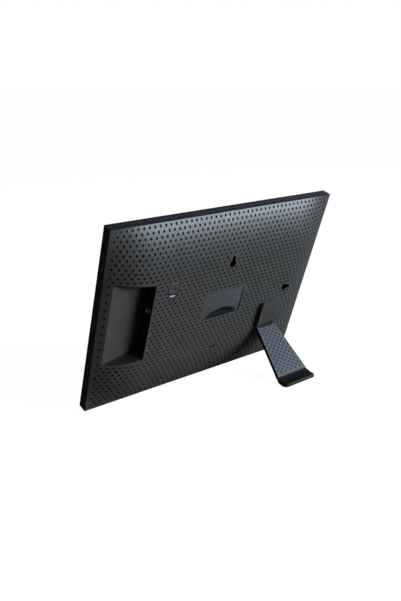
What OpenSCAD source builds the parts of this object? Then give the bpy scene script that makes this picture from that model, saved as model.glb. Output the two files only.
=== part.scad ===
// Digital photo frame, leaning on its folding stand. Millimetres, +Z up, screen towards -Y.
// Every piece of the frame itself is drawn flat, with the front at y = 0 and depth along +Y,
// and place() then leans it back. The leg is drawn along its own length and swung out last.

/* [Frame] */
// Width of the frame
frame_w = 262; // [230:1:320]
// Height of the frame, measured along its own plane
frame_h = 190; // [170:1:240]
// Depth of the flat rim
rim_t = 9.5; // [9.3:0.1:12]
// Height that the domed cover rises behind the rim
cover_rise = 14.6; // [14.4:0.1:18]
// Width of the curved band between the rim and the flat middle of the cover
cover_blend = 45; // [35:1:50]
// Inset of the cover's edge from the rim's edge
cover_step = 0.6; // [0.3:0.1:1.2]
// Wall of the moulded shells
shell_wall = 2; // [1.6:0.1:2.4]
// Width of the shadow groove between the bezel and the middle frame
groove_w = 0.3; // [0.2:0.1:0.5]
// Angle that the frame leans back
lean = 19; // [12:0.5:22]

/* [Screen] */
// Width of the panel's outline
panel_w = 229.5; // [200:0.5:229.5]
// Height of the panel's outline
panel_h = 149; // [130:0.5:149]
// Width of the visible picture
view_w = 217; // [190:0.5:218]
// Height of the visible picture
view_h = 135.6; // [120:0.5:138]
// Thickness of the touch glass
glass_t = 1.1; // [0.7:0.1:1.2]
// Thickness of the adhesive tapes and foam gaskets
tape_t = 0.3; // [0.2:0.1:0.4]
// Thickness of the sheet steel tray behind the light guide
tray_t = 0.5; // [0.4:0.1:0.6]

/* [Ports] */
// Distance of the connector wall from the middle of the frame
port_wall_x = 85.5; // [80:0.5:90]
// Length of the port recess along the connector wall
port_h = 79.5; // [70:0.5:90]
// Width of the port recess, from the connector wall to where its floor runs out
port_w = 37.5; // [30:0.5:38]
// Extra height of the recess at its outer end, each side
port_flare = 3; // [0:0.5:4]
// Radius of the power jack's hole
jack_hole_r = 2.9; // [2.5:0.1:3.2]
// Height of the power jack above the bottom edge
jack_z = 107.5; // [100:0.5:115]
// Height of the USB port above the bottom edge
usb_z = 90; // [85:0.5:94]
// Height of the reset hole above the bottom edge
reset_z = 68; // [64:0.5:72]

/* [Back details] */
// Radius of a keyhole's round opening
keyhole_r = 3.9; // [3.5:0.1:4.5]
// Half width of a keyhole's narrow slot
keyhole_slot_r = 2; // [1.6:0.1:2.2]
// Distance from a keyhole's centre to the far end of its slot
keyhole_run = 8.4; // [7:0.1:10]
// Side of the square power button
button_size = 12.8; // [12:0.2:14]
// Travel of the power button
button_travel = 0.5; // [0.3:0.1:0.6]
// Gap round the power button
button_gap = 0.3; // [0.2:0.1:0.5]
// Sideways pitch of the dot pattern
dot_pitch_x = 5.5; // [5:0.1:7]
// Pitch of the dot pattern's staggered rows
dot_pitch_z = 4.11; // [3.8:0.1:6]
// Radius of a vent hole
vent_r = 1; // [0.8:0.1:1.2]
// Radius of a speaker's round group of holes
grille_r = 15; // [12:0.5:16]
// Width of the label recess
label_w = 48; // [40:1:50]
// Height of the label recess
label_h = 28; // [24:0.5:30]
// Depth of the label recess
label_depth = 1.2; // [0.8:0.1:1.4]

/* [Stand] */
// Distance of the stand from the middle of the frame
stand_x = -67; // [-75:0.5:-55]
// Width of the stand plate
plate_w = 25.3; // [22:0.1:30]
// Height of the hinge above the bottom edge
hinge_z = 56.4; // [54:0.1:60]
// Height of the stand plate's top above the bottom edge
plate_top = 86; // [82:0.5:90]
// Thickness of the leg
leg_t = 3.8; // [3.2:0.1:4.6]
// Gap between the folded leg and the cover
leg_gap = 0.4; // [0.3:0.1:0.8]
// Width of the leg at its foot
leg_foot_w = 41; // [32:0.5:46]
// Angle of the leg from the cover when it is swung out
leg_swing = 62.9; // [50:0.1:65]
// Radius of the hinge pin
pin_r = 1; // [0.8:0.05:1.1]
// Radius of the foot's curled underside
foot_r = 15; // [12:0.5:18]
// Angle that the foot's tip curls up past its lowest point
foot_curl = 20; // [10:1:30]

/* [Hidden] */
$fn = 48;

eps = 0.01;
slip = 0.2;                      // gap round a piece that drops into another
pin_fit = 0.05;                  // radial running gap of the hinge pin
thread_fit = 0.02;               // radial gap of a screw's thread

// Depths, counted back from the front of the glass
glass_y = tape_t + glass_t;      // seat of the glass on the bezel
bezel_flange_t = 1;
gasket_y = glass_y + bezel_flange_t;
panel_y = gasket_y + tape_t;
panel_t = 1.2;
films_t = 0.3;
guide_t = 1.6;
tray_y = panel_y + panel_t + films_t + guide_t;
bezel_t = 4.5;
middle_y = bezel_t + groove_w;
flange_t = tray_y + tray_t - middle_y;
flange_back = middle_y + flange_t;
bracket_t = 0.8;
bracket_w = 16;
bracket_in = 7;
bracket_out = 6;
cover_y = rim_t + cover_rise;    // outer face of the flat middle of the cover
inner_y = cover_y - shell_wall;  // its inner face

// Plan sizes
lip_t = 1.2;
glass_lip = 1.5;
glass_w = frame_w - 2 * glass_lip - 2 * slip;
glass_h = frame_h - 2 * glass_lip - 2 * slip;
tray_w = panel_w + 2 * tray_t + 2 * slip;
tray_h = panel_h + 2 * tray_t + 2 * slip;
mid_z = frame_h / 2;
cover_w = frame_w - 2 * cover_step;
cover_h = frame_h - 2 * cover_step;
lip_inset = shell_wall + slip;
profile_steps = 12;

// Places of the details on the back, as distances from the edges that they keep
port_z = mid_z + 2.25;
port_floor_y = flange_back + bracket_t + 0.3 + shell_wall;
port_end_x = port_wall_x + port_w;
landscape_key_z = mid_z + 47.2;
portrait_key_x = 47 - frame_w / 2;
portrait_key_z = mid_z + 2.6;
button_x = 66;
button_z = mid_z + 34.5;
button_corner = 3;
button_flange = 0.8;
led_x = button_x;
led_z = button_z - button_size / 2 - 1.1;
led_size = [6.4, 1.3];
led_t = 0.8;
label_z = mid_z + 2.9;
slot_z = 46.7;
slot_size = [7.5, 1.5];
dot_first_z = 2.2;
speaker_x = frame_w / 2 - 39;
speaker_z = frame_h - 34;
corner_vent = [frame_w / 2 - 15, 38];
corner_vent_r = 12;
band_vent_from = [12, 79];
band_vent_to = [-47, 62];
band_vent_r = 6;

// Main board, fixed to posts on the inside of the cover
board_t = 1.6;
board_y = inner_y - 8.1;
board_back = board_y + board_t;
board_low = reset_z - 12;
board_high = button_z + 12;
board_left = port_wall_x - shell_wall - slip;
board_margin = 5;                // from the board's side edges to its screws
board_right = 14;
post_r = 2.6;
screw_r = 1;
screw_head_r = 1.9;
screw_head_t = 1;
board_fixings = [
    [board_left - board_margin, board_high - 4],
    [board_left - board_margin, board_low + 4],
    [board_right + board_margin, board_high - 4],
    [board_right + board_margin, board_low + 4],
];
ribbon_t = 0.2;
display_ribbon_w = 18;
touch_ribbon_w = 8;
display_ribbon_x = board_right + board_margin + screw_head_r + slip;
touch_ribbon_x = panel_w / 4 - bracket_w / 2 - slip - touch_ribbon_w;
socket_x = port_wall_x - shell_wall - slip;   // faces of the sockets, behind the recess wall
jack_y = board_back + 3.2;
jack_body = [11, 6.2, 9];        // length, height above the board, width
jack_collar_t = 0.75;
jack_depth = 9;
jack_pin_r = 0.65;
usb_y = board_back + 3;
usb_size = [13, 14.4, 5.6];      // depth, width, height above the board
usb_mouth = [12.2, 4.6];
reset_y = board_back + 1.6;
reset_hole_r = 0.8;
switch_h = 3.4;
plunger_r = 1.6;
plunger_top = board_back + switch_h + 1.2;
cap_t = shell_wall + 0.1;

// Speakers
speaker_r = 13;
speaker_t = 4.5;
speaker_gasket_t = 1;
speaker_ear_t = 1.2;
speaker_post_r = 1.8;
speaker_fixing_x = speaker_r + 2.6;
speaker_ear_x = speaker_fixing_x + 1.9;

// Stand
plate_proud = leg_t + leg_gap;   // height of the plate's face above the cover
plate_y = cover_y + plate_proud;
hinge_y = plate_y - leg_t / 2;
knuckle_r = leg_t / 2;
plate_corner = 4;
plate_low = hinge_z + knuckle_r + 1.4;
ear_w = 4;
leg_top_w = plate_w - 0.3;
washer_t = 0.5;
knuckle_w = plate_w - 2 * ear_w - 2 * washer_t;
leg_start = knuckle_r + 0.5;
tongue_len = 4;
tongue_t = 1.4;
foot_corner = 5;
stand_fixings = [[-7, plate_top - 7], [7, plate_top - 7], [0, plate_low + 5.5]];

// The leaning frame rests on the back edge of its rim, and the leg is as long as it takes for
// the foot's curl to rest on the same surface.
lift = rim_t * sin(lean);
hinge_height = hinge_z * cos(lean) - hinge_y * sin(lean) + lift;
foot_centre_n = foot_r - leg_t / 2;
leg_len = (hinge_height - foot_r + foot_centre_n * sin(leg_swing - lean)) / cos(leg_swing - lean);
function lean_y(y, z) = y * cos(lean) + z * sin(lean);
foot_centre_y = hinge_y + leg_len * sin(leg_swing) + foot_centre_n * cos(leg_swing);
foot_centre_z = hinge_z - leg_len * cos(leg_swing) + foot_centre_n * sin(leg_swing);
back_most = lean_y(foot_centre_y, foot_centre_z) + foot_r * sin(foot_curl);
shift_y = -back_most / 2;        // puts the origin midway between front and back
foot_turn = 90 - leg_swing + lean + foot_curl;
foot_tip = back_most - lean_y(hinge_y, hinge_z);

module place() {
    translate([0, shift_y, lift]) rotate([-lean, 0, 0]) children();
}

// A block given by its x range, y range and z range
module span(x, y, z) {
    translate([x[0], y[0], z[0]]) cube([x[1] - x[0], y[1] - y[0], z[1] - z[0]]);
}

// A centred w by h block with its front at y and depth t
module slab(w, h, y, t, x = 0, z = mid_z) {
    translate([x - w / 2, y, z - h / 2]) cube([w, t, h]);
}

// A rectangular ring, w by h outside and iw by ih inside
module ring(w, h, iw, ih, y, t) {
    difference() {
        slab(w, h, y, t);
        slab(iw, ih, y - 1, t + 2);
    }
}

// A round bar along Y
module bar_y(x, z, y, t, r) {
    translate([x, y, z]) rotate([-90, 0, 0]) cylinder(h = t, r = r);
}

// A round bar along X
module bar_x(x, w, y, z, r) {
    translate([x, y, z]) rotate([0, 90, 0]) cylinder(h = w, r = r);
}

// A block with round corners seen along Y
module round_slab(w, h, y, t, r, x = 0, z = 0) {
    slab(w - 2 * r, h, y, t, x, z);
    slab(w, h - 2 * r, y, t, x, z);
    for (sx = [-1, 1], sz = [-1, 1]) {
        bar_y(x + sx * (w / 2 - r), z + sz * (h / 2 - r), y, t, r);
    }
}

// Rise of the cover at distance d from its edge: a parabola that levels off
function rise(d) = cover_rise * (1 - pow(1 - min(d, cover_blend) / cover_blend, 2));

// Section of the dome over a length, lowered by drop and closed along floor_y
function dome_line(len, drop, floor_y) = concat(
    [[-len / 2, floor_y]],
    [for (i = [0 : profile_steps])
        let (d = i * cover_blend / profile_steps, y = rim_t + rise(d) - drop)
            if (y > floor_y) [d - len / 2, y]],
    [for (i = [profile_steps : -1 : 0])
        let (d = i * cover_blend / profile_steps, y = rim_t + rise(d) - drop)
            if (y > floor_y) [len / 2 - d, y]],
    [[len / 2, floor_y]]
);

module dome(drop, floor_y) {
    intersection() {
        translate([0, 0, -1]) linear_extrude(frame_h + 2) polygon(dome_line(cover_w, drop, floor_y));
        translate([-frame_w, 0, mid_z]) rotate([90, 0, 90]) linear_extrude(2 * frame_w)
            polygon([for (p = dome_line(cover_h, drop, floor_y)) [p[1], p[0]]]);
    }
}

// Space of the port recess, grown by grow on every side but its open back
module port_space(grow) {
    floor_end = rim_t + rise(frame_w / 2 - cover_step - port_end_x);
    intersection() {
        translate([0, 0, -1]) linear_extrude(frame_h + 2) polygon([
            [port_wall_x - grow, port_floor_y - grow],
            [port_wall_x + 4 - grow, port_floor_y - grow],
            [port_end_x + grow, floor_end - grow],
            [port_end_x + grow, floor_end + 2 * cover_rise],
            [port_wall_x - grow, floor_end + 2 * cover_rise],
        ]);
        translate([0, -1, 0]) rotate([-90, 0, 0]) linear_extrude(cover_y + 30) polygon([
            [port_wall_x - grow, -(port_z - port_h / 2 - grow)],
            [port_wall_x - grow, -(port_z + port_h / 2 + grow)],
            [port_end_x + grow, -(port_z + port_h / 2 + port_flare + grow)],
            [port_end_x + grow, -(port_z - port_h / 2 - port_flare - grow)],
        ]);
    }
}

// Keyhole with its slot running towards [dx, dz]
module keyhole(x, z, dx, dz) {
    run = keyhole_run - keyhole_slot_r;
    bar_y(x, z, inner_y - 10, 30, keyhole_r);
    bar_y(x + dx * run, z + dz * run, inner_y - 10, 30, keyhole_slot_r);
    translate([x, 0, z]) rotate([0, -atan2(dz, dx), 0])
        span([0, run], [inner_y - 10, inner_y + 20], [-keyhole_slot_r, keyhole_slot_r]);
}

// Distance from a point to the segment from a to b
function along(p, a, b) = max(0, min(1, ((p - a) * (b - a)) / ((b - a) * (b - a))));
function to_line(p, a, b) = norm(p - a - along(p, a, b) * (b - a));

// Places of the staggered dot pattern that lie within reach of the segment from a to b
function dots_near(a, b, reach) = [
    for (row = [0 : ceil(frame_h / dot_pitch_z)])
        let (z = dot_first_z + row * dot_pitch_z)
        for (col = [-ceil(frame_w / dot_pitch_x / 2) : ceil(frame_w / dot_pitch_x / 2)])
            let (x = (col + (row + 1) % 2 / 2) * dot_pitch_x)
            if (to_line([x, z], a, b) < reach) [x, z]
];

module vents(a, b, reach) {
    for (p = dots_near(a, b, reach)) bar_y(p[0], p[1], rim_t - 1, 30, vent_r, $fn = 16);
}

// ---- Front half -------------------------------------------------------------------------

module front_bezel() {
    color("#24242a") place() difference() {
        union() {
            slab(frame_w, frame_h, 0, bezel_t);
            ring(frame_w - 2 * lip_inset, frame_h - 2 * lip_inset,
                 frame_w - 2 * lip_inset - 2 * lip_t, frame_h - 2 * lip_inset - 2 * lip_t,
                 bezel_t - 1, groove_w + 1);
        }
        slab(frame_w - 2 * glass_lip, frame_h - 2 * glass_lip, -1, 1 + glass_y);
        slab(view_w + 1, view_h + 1, -1, bezel_t + 2);
        slab(frame_w - 2 * lip_inset - 2 * lip_t, frame_h - 2 * lip_inset - 2 * lip_t,
             gasket_y, bezel_t);
    }
}

module touch_glass() {
    color("#101014") place() slab(glass_w, glass_h, 0, glass_t);
}

module glass_tape() {
    color("#2b2b2b") place() ring(glass_w - 2, glass_h - 2, view_w + 3, view_h + 3,
                                  glass_t, tape_t);
}

module panel_gasket() {
    color("#1b1b1b") place() ring(panel_w - 1, panel_h - 1, view_w + 3, view_h + 3,
                                  gasket_y, tape_t);
}

module lcd_panel() {
    color("#2a3138") place() slab(panel_w, panel_h, panel_y, panel_t);
}

module optical_films() {
    color("#e4e6ea") place() slab(panel_w - 4, panel_h - 6, panel_y + panel_t, films_t,
                                  z = mid_z + 1);
}

module light_guide() {
    color("#d5e6ee") place() slab(panel_w - 4, panel_h - 6, panel_y + panel_t + films_t, guide_t,
                                  z = mid_z + 1);
}

module led_strip() {
    led_count = 24;
    strip_z = mid_z - panel_h / 2 + 1;
    color("#f2e9b0") place() {
        slab(panel_w - 4, 0.6, panel_y + panel_t + films_t, guide_t, z = strip_z - 0.4);
        for (i = [0 : led_count - 1]) {
            slab(3, 0.8, panel_y + panel_t + films_t + 0.3, 1,
                 x = (i - (led_count - 1) / 2) * (panel_w - 20) / led_count, z = strip_z + 0.3);
        }
    }
}

module backlight_tray() {
    color("#b4b8bc") place() difference() {
        slab(tray_w, tray_h, panel_y, tray_y + tray_t - panel_y);
        slab(tray_w - 2 * tray_t, tray_h - 2 * tray_t, panel_y - 1, tray_y - panel_y + 1);
    }
}

module middle_frame() {
    window_w = tray_w + 2 * slip;
    window_h = tray_h + 2 * slip;
    color("#24242a") place() difference() {
        slab(frame_w, frame_h, middle_y, rim_t - middle_y);
        slab(frame_w - 2 * shell_wall, frame_h - 2 * shell_wall, flange_back, rim_t);
        slab(window_w, window_h, 0, rim_t + 1);
        bracket_places() bar_y(0, -bracket_out, -flange_t - 1, flange_t + 2, screw_r);
    }
}

// ---- Fixings of the screen --------------------------------------------------------------

// Puts its children at each of the four brackets, on the tray's edge, with +z inwards
module bracket_places() {
    for (sx = [-1, 1], sz = [-1, 1]) {
        translate([sx * panel_w / 4, flange_back, mid_z + sz * tray_h / 2])
            rotate([0, sz > 0 ? 180 : 0, 0]) children();
    }
}

module panel_brackets() {
    color("#c3c6ca") place() bracket_places() difference() {
        span([-bracket_w / 2, bracket_w / 2], [0, bracket_t], [-bracket_out - 4, bracket_in]);
        bar_y(0, -bracket_out, -1, bracket_t + 2, screw_r + 0.15);
    }
}

module bracket_screws() {
    color("#8d9093") place() bracket_places() {
        bar_y(0, -bracket_out, bracket_t, screw_head_t, screw_head_r);
        bar_y(0, -bracket_out, -flange_t, flange_t + bracket_t + eps, screw_r - thread_fit);
    }
}

// ---- Electronics ------------------------------------------------------------------------

module main_board() {
    color("#1f6b45") place() difference() {
        span([board_right, board_left], [board_y, board_back], [board_low, board_high]);
        for (p = board_fixings) bar_y(p[0], p[1], 0, 40, screw_r + 0.15);
    }
}

module board_screws() {
    color("#8d9093") place() for (p = board_fixings) {
        bar_y(p[0], p[1], board_y - screw_head_t, screw_head_t, screw_head_r);
        bar_y(p[0], p[1], board_y - eps, board_t + 4, screw_r - thread_fit);
    }
}

module shield_can() {
    color("#c9ccd0") place() span([board_right + 16, board_right + 40], [board_y - 2, board_y],
                                  [board_low + 20, board_low + 44]);
}

module wifi_module() {
    color("#2d4f8a") place() span([board_right + 14, board_right + 26], [board_y - 2.2, board_y],
                                  [board_high - 16, board_high - 3]);
}

module antenna() {
    color("#d8b24a") place() span([-62, -30], [inner_y - 0.3, inner_y],
                                  [button_z - 8, button_z]);
}

module power_jack() {
    collar_r = jack_hole_r - 0.15;
    color("#191919") place() difference() {
        union() {
            span([socket_x - jack_body[0], socket_x], [board_back, board_back + jack_body[1]],
                 [jack_z - jack_body[2] / 2, jack_z + jack_body[2] / 2]);
            bar_x(socket_x - 1, 1 + slip + shell_wall - 0.3, jack_y, jack_z, collar_r);
        }
        bar_x(port_wall_x - jack_depth, jack_depth + 1, jack_y, jack_z, collar_r - jack_collar_t);
    }
    color("#d9d9d9") place()
        bar_x(port_wall_x - jack_depth - eps, jack_depth - 3, jack_y, jack_z, jack_pin_r);
}

module usb_port() {
    back_t = 1;
    tongue = [1.8, 10.8];
    color("#b9bcc0") place() difference() {
        span([socket_x - usb_size[0], socket_x], [board_back, board_back + usb_size[2]],
             [usb_z - usb_size[1] / 2, usb_z + usb_size[1] / 2]);
        span([socket_x - usb_size[0] + back_t, socket_x + 1],
             [usb_y - usb_mouth[1] / 2, usb_y + usb_mouth[1] / 2],
             [usb_z - usb_mouth[0] / 2, usb_z + usb_mouth[0] / 2]);
    }
    color("#f2f2f2") place() span([socket_x - usb_size[0] + back_t - eps, socket_x - 1.5],
                                  [usb_y - tongue[0] - 0.1, usb_y - 0.1],
                                  [usb_z - tongue[1] / 2, usb_z + tongue[1] / 2]);
}

module reset_switch() {
    body = [4, 3.2, 6];
    color("#333333") place() {
        span([socket_x - 1 - body[0], socket_x - 1], [board_back, board_back + body[1]],
             [reset_z - body[2] / 2, reset_z + body[2] / 2]);
        bar_x(socket_x - 1 - eps, 0.8, reset_y, reset_z, 1.2);
    }
}

module power_switch() {
    color("#3a3a3a") place() difference() {
        slab(6, 6, board_back, switch_h, button_x, button_z);
        bar_y(button_x, button_z, board_back + 1, switch_h, plunger_r + 0.1);
    }
}

module switch_plunger() {
    color("#e7e2d6") place() bar_y(button_x, button_z, board_back + 1 + button_travel + 0.1,
                                   plunger_top - board_back - 1.1 - button_travel, plunger_r);
}

module indicator_led() {
    color("#f4f4f4") place() slab(3, 1.6, board_back, led_t, led_x, led_z);
}

// A bar that fills the slot under the button, on a stem over the indicator
module light_pipe() {
    inside = 1.2;
    stem_w = 3;
    stem_y = board_back + led_t + 0.1;
    color("#e8ebef") place() {
        slab(led_size[0], led_size[1], inner_y - inside, shell_wall + inside, led_x, led_z);
        slab(stem_w, led_size[1], stem_y, inner_y - stem_y - 0.9, led_x, led_z);
    }
}

// The cap, its retaining flange behind the cover and the stem that meets the switch
module power_button() {
    color("#3b3c3f") place() {
        round_slab(button_size, button_size, cover_y - cap_t, cap_t, button_corner,
                   button_x, button_z);
        slab(button_size + 2 * button_flange, button_size + button_flange,
             inner_y - button_flange, button_flange, button_x, button_z + button_flange / 2);
        bar_y(button_x, button_z, plunger_top, inner_y - plunger_top - eps, 2);
    }
}

// Puts its children at each speaker, mirrored for the far side
module speaker_places() {
    for (sx = [-1, 1]) translate([sx * speaker_x, 0, speaker_z]) children();
}

// Depth of the cover's inner face over the speaker's lowest edge
speaker_back = rim_t + rise(frame_h - speaker_z - speaker_r - cover_step) - shell_wall
    - speaker_gasket_t - slip;

module speakers() {
    color("#26262a") place() speaker_places() {
        bar_y(0, 0, speaker_back - speaker_t, speaker_t, speaker_r);
        difference() {
            span([-speaker_ear_x, speaker_ear_x], [speaker_back - speaker_ear_t, speaker_back],
                 [-3, 3]);
            for (s = [-1, 1]) bar_y(s * speaker_fixing_x, 0, 0, 40, screw_r + 0.1);
        }
    }
}

module speaker_gaskets() {
    color("#141414") place() speaker_places() difference() {
        bar_y(0, 0, speaker_back, speaker_gasket_t, speaker_r);
        bar_y(0, 0, speaker_back - 1, speaker_gasket_t + 2, speaker_r - 2);
    }
}

module speaker_screws() {
    color("#8d9093") place() speaker_places() for (s = [-1, 1]) {
        bar_y(s * speaker_fixing_x, 0, speaker_back - speaker_ear_t - screw_head_t, screw_head_t,
              screw_head_r);
        bar_y(s * speaker_fixing_x, 0, speaker_back - speaker_ear_t - eps, 3, screw_r - thread_fit);
    }
}

// A flat cable from the foot of the screen up to the lower edge of the board
module ribbon(x, w) {
    foot_z = board_low - 12;
    plug_z = board_low + 4;
    plug_h = 4;
    bend_z = 3;
    translate([x, 0, 0]) rotate([90, 0, 90]) linear_extrude(w) polygon([
        [flange_back, foot_z], [flange_back + ribbon_t, foot_z],
        [board_y - 2 * ribbon_t, plug_z], [board_y - 2 * ribbon_t, plug_z + plug_h],
        [board_y, plug_z + plug_h], [board_y, plug_z - bend_z * ribbon_t],
        [flange_back + bend_z * ribbon_t, foot_z - bend_z], [flange_back, foot_z - bend_z],
    ]);
}

module display_ribbon() {
    color("#c98a3c") place() ribbon(display_ribbon_x, display_ribbon_w);
}

module touch_ribbon() {
    color("#d19a4a") place() ribbon(touch_ribbon_x, touch_ribbon_w);
}

// ---- Back half --------------------------------------------------------------------------

module cover_posts() {
    for (p = board_fixings) bar_y(p[0], p[1], board_back, inner_y - board_back + 1, post_r);
    speaker_places() for (s = [-1, 1]) {
        bar_y(s * speaker_fixing_x, 0, speaker_back, cover_y, speaker_post_r);
    }
    slab(label_w + 3, label_h + 3, inner_y - label_depth, label_depth + 1, z = label_z);
}

module cover_cuts() {
    keyhole(0, landscape_key_z, 0, 1);
    keyhole(portrait_key_x, portrait_key_z, -1, 0);
    slab(slot_size[0], slot_size[1], inner_y - 5, 30, z = slot_z);
    slab(label_w, label_h, cover_y - label_depth, 10, z = label_z);
    round_slab(button_size + 2 * button_gap, button_size + 2 * button_gap, inner_y - 5, 30,
               button_corner + button_gap, button_x, button_z);
    slab(led_size[0], led_size[1], inner_y - 5, 30, led_x, led_z);
    vents([speaker_x, speaker_z], [speaker_x + eps, speaker_z], grille_r);
    vents([-speaker_x, speaker_z], [eps - speaker_x, speaker_z], grille_r);
    vents(corner_vent, corner_vent + [eps, 0], corner_vent_r);
    vents(band_vent_from, band_vent_to, band_vent_r);
    bar_x(port_wall_x - 10, 20, jack_y, jack_z, jack_hole_r);
    bar_x(port_wall_x - 10, 20, reset_y, reset_z, reset_hole_r);
    span([port_wall_x - 5, port_wall_x + 1], [usb_y - usb_mouth[1] / 2, usb_y + usb_mouth[1] / 2],
         [usb_z - usb_mouth[0] / 2, usb_z + usb_mouth[0] / 2]);
    for (p = stand_fixings) bar_y(stand_x + p[0], p[1], inner_y - 5, 30, screw_r + 0.15);
}

module back_cover() {
    color("#46484a") place() difference() {
        union() {
            difference() {
                dome(0, rim_t);
                dome(shell_wall, rim_t - 1);
            }
            intersection() {
                dome(0, flange_back);
                union() {
                    port_space(shell_wall);
                    cover_posts();
                }
            }
            ring(frame_w - 2 * lip_inset, frame_h - 2 * lip_inset,
                 frame_w - 2 * lip_inset - 2 * lip_t, frame_h - 2 * lip_inset - 2 * lip_t,
                 rim_t - 1.5, 1.5 + eps);
        }
        port_space(0);
        cover_cuts();
        for (p = board_fixings) bar_y(p[0], p[1], board_back - 1, 6, screw_r - thread_fit);
        speaker_places() for (s = [-1, 1]) {
            bar_y(s * speaker_fixing_x, 0, speaker_back - 1, 3.4, screw_r - thread_fit);
        }
    }
}

module rating_label() {
    color("#4b4b55") place() slab(label_w - 2, label_h - 2, cover_y - label_depth, 0.2,
                                  z = label_z);
}

// ---- Stand ------------------------------------------------------------------------------

module stand_plate() {
    body_z = (plate_top + plate_low) / 2;
    color("#3c3d3c") place() translate([stand_x, 0, 0]) difference() {
        union() {
            intersection() {
                round_slab(plate_w, plate_top - plate_low + 2 * plate_corner, cover_y, plate_proud,
                           plate_corner, 0, body_z - plate_corner);
                span([-plate_w, plate_w], [0, plate_y + 1], [plate_low, plate_top + 1]);
            }
            for (s = [0, 1]) mirror([s, 0, 0]) {
                bar_x(plate_w / 2 - ear_w, ear_w, hinge_y, hinge_z, knuckle_r);
                span([plate_w / 2 - ear_w, plate_w / 2], [hinge_y - knuckle_r, hinge_y + knuckle_r],
                     [hinge_z, plate_low + eps]);
            }
        }
        bar_x(-plate_w, 2 * plate_w, hinge_y, hinge_z, pin_r);
        for (p = stand_fixings) bar_y(p[0], p[1], cover_y - 1, 4, screw_r - thread_fit);
    }
}

module stand_screws() {
    color("#8d9093") place() for (p = stand_fixings) {
        bar_y(stand_x + p[0], p[1], inner_y - screw_head_t, screw_head_t, screw_head_r);
        bar_y(stand_x + p[0], p[1], inner_y - eps, shell_wall + 2.8, screw_r - thread_fit);
    }
}

module hinge_pin() {
    color("#c8cace") place() bar_x(stand_x - plate_w / 2 + 0.4, plate_w - 0.8, hinge_y, hinge_z,
                                   pin_r - 0.01);
}

module hinge_washers() {
    color("#d2c08a") place() translate([stand_x, 0, 0]) for (s = [0, 1]) mirror([s, 0, 0])
        difference() {
            bar_x(knuckle_w / 2, washer_t, hinge_y, hinge_z, knuckle_r - 0.2);
            bar_x(knuckle_w / 2 - 1, washer_t + 2, hinge_y, hinge_z, pin_r + 0.02);
        }
}

// The leg's own space: z runs back along the leg to the hinge, y is away from the frame
module swing() {
    place() translate([stand_x, hinge_y, hinge_z]) rotate([leg_swing, 0, 0]) children();
}

// Half width of the leg at distance s from the hinge
function leg_half(s) = (leg_top_w + (leg_foot_w - leg_top_w) * s / leg_len) / 2;

module leg_outline(from, to) {
    rotate([-90, 0, 0]) translate([0, 0, -leg_t / 2]) linear_extrude(leg_t) polygon([
        [-leg_half(from), from], [leg_half(from), from], [leg_half(to), to], [-leg_half(to), to],
    ]);
}

module leg_tongue() {
    span([-leg_foot_w / 2 + 6, leg_foot_w / 2 - 6], [-tongue_t / 2, tongue_t / 2],
         [-leg_len - tongue_len, -leg_len + 1]);
}

module stand_leg() {
    color("#5b636c") swing() difference() {
        union() {
            leg_outline(leg_start, leg_len);
            leg_tongue();
            bar_x(-knuckle_w / 2, knuckle_w, 0, 0, knuckle_r);
            span([-knuckle_w / 2, knuckle_w / 2], [-knuckle_r, knuckle_r], [-leg_start - eps, 0]);
        }
        bar_x(-plate_w, 2 * plate_w, 0, 0, pin_r + pin_fit);
    }
}

module foot_pad() {
    color("#1d1e20") swing() difference() {
        intersection() {
            translate([0, foot_centre_n, -leg_len]) difference() {
                bar_x(-leg_foot_w, 2 * leg_foot_w, 0, 0, foot_r);
                bar_x(-leg_foot_w - 1, 2 * leg_foot_w + 2, 0, 0, foot_r - leg_t);
                foot_ends();
            }
            foot_plan();
        }
        leg_tongue();
    }
}

// Cuts away the part of the ring before the leg's end and past the curled tip
module foot_ends() {
    block = [[-leg_foot_w, leg_foot_w], [-2 * foot_r, 2 * foot_r]];
    span(block[0], block[1], [0, 2 * foot_r]);
    rotate([foot_turn, 0, 0]) span(block[0], block[1], [-2 * foot_r, 0]);
}

// Plan of the foot seen from straight above, with round corners at its tip
module foot_plan() {
    half = leg_foot_w / 2;
    rotate([lean - leg_swing, 0, 0]) translate([0, 0, -2 * leg_len]) linear_extrude(3 * leg_len) {
        translate([-half, 0]) square([leg_foot_w, foot_tip - foot_corner]);
        translate([foot_corner - half, 0]) square([leg_foot_w - 2 * foot_corner, foot_tip]);
        for (s = [-1, 1]) {
            translate([s * (half - foot_corner), foot_tip - foot_corner]) circle(foot_corner);
        }
    }
}

front_bezel();
touch_glass();
glass_tape();
panel_gasket();
lcd_panel();
optical_films();
light_guide();
led_strip();
backlight_tray();
middle_frame();
panel_brackets();
bracket_screws();
main_board();
board_screws();
shield_can();
wifi_module();
antenna();
power_jack();
usb_port();
reset_switch();
power_switch();
indicator_led();
light_pipe();
switch_plunger();
power_button();
speakers();
speaker_gaskets();
speaker_screws();
display_ribbon();
touch_ribbon();
back_cover();
rating_label();
stand_plate();
stand_screws();
hinge_pin();
hinge_washers();
stand_leg();
foot_pad();
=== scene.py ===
"""A digital photo frame, seen from behind, leaning back on its folding leg.

Lengths are millimetres in the frame's own upright axes: x to the left seen from behind, y back from
the rim's front, z up from its lower edge. lean_back() turns them into metres on the floor.
"""

import math

import bmesh
import bpy
import numpy as np
from mathutils import Matrix, Vector


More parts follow.
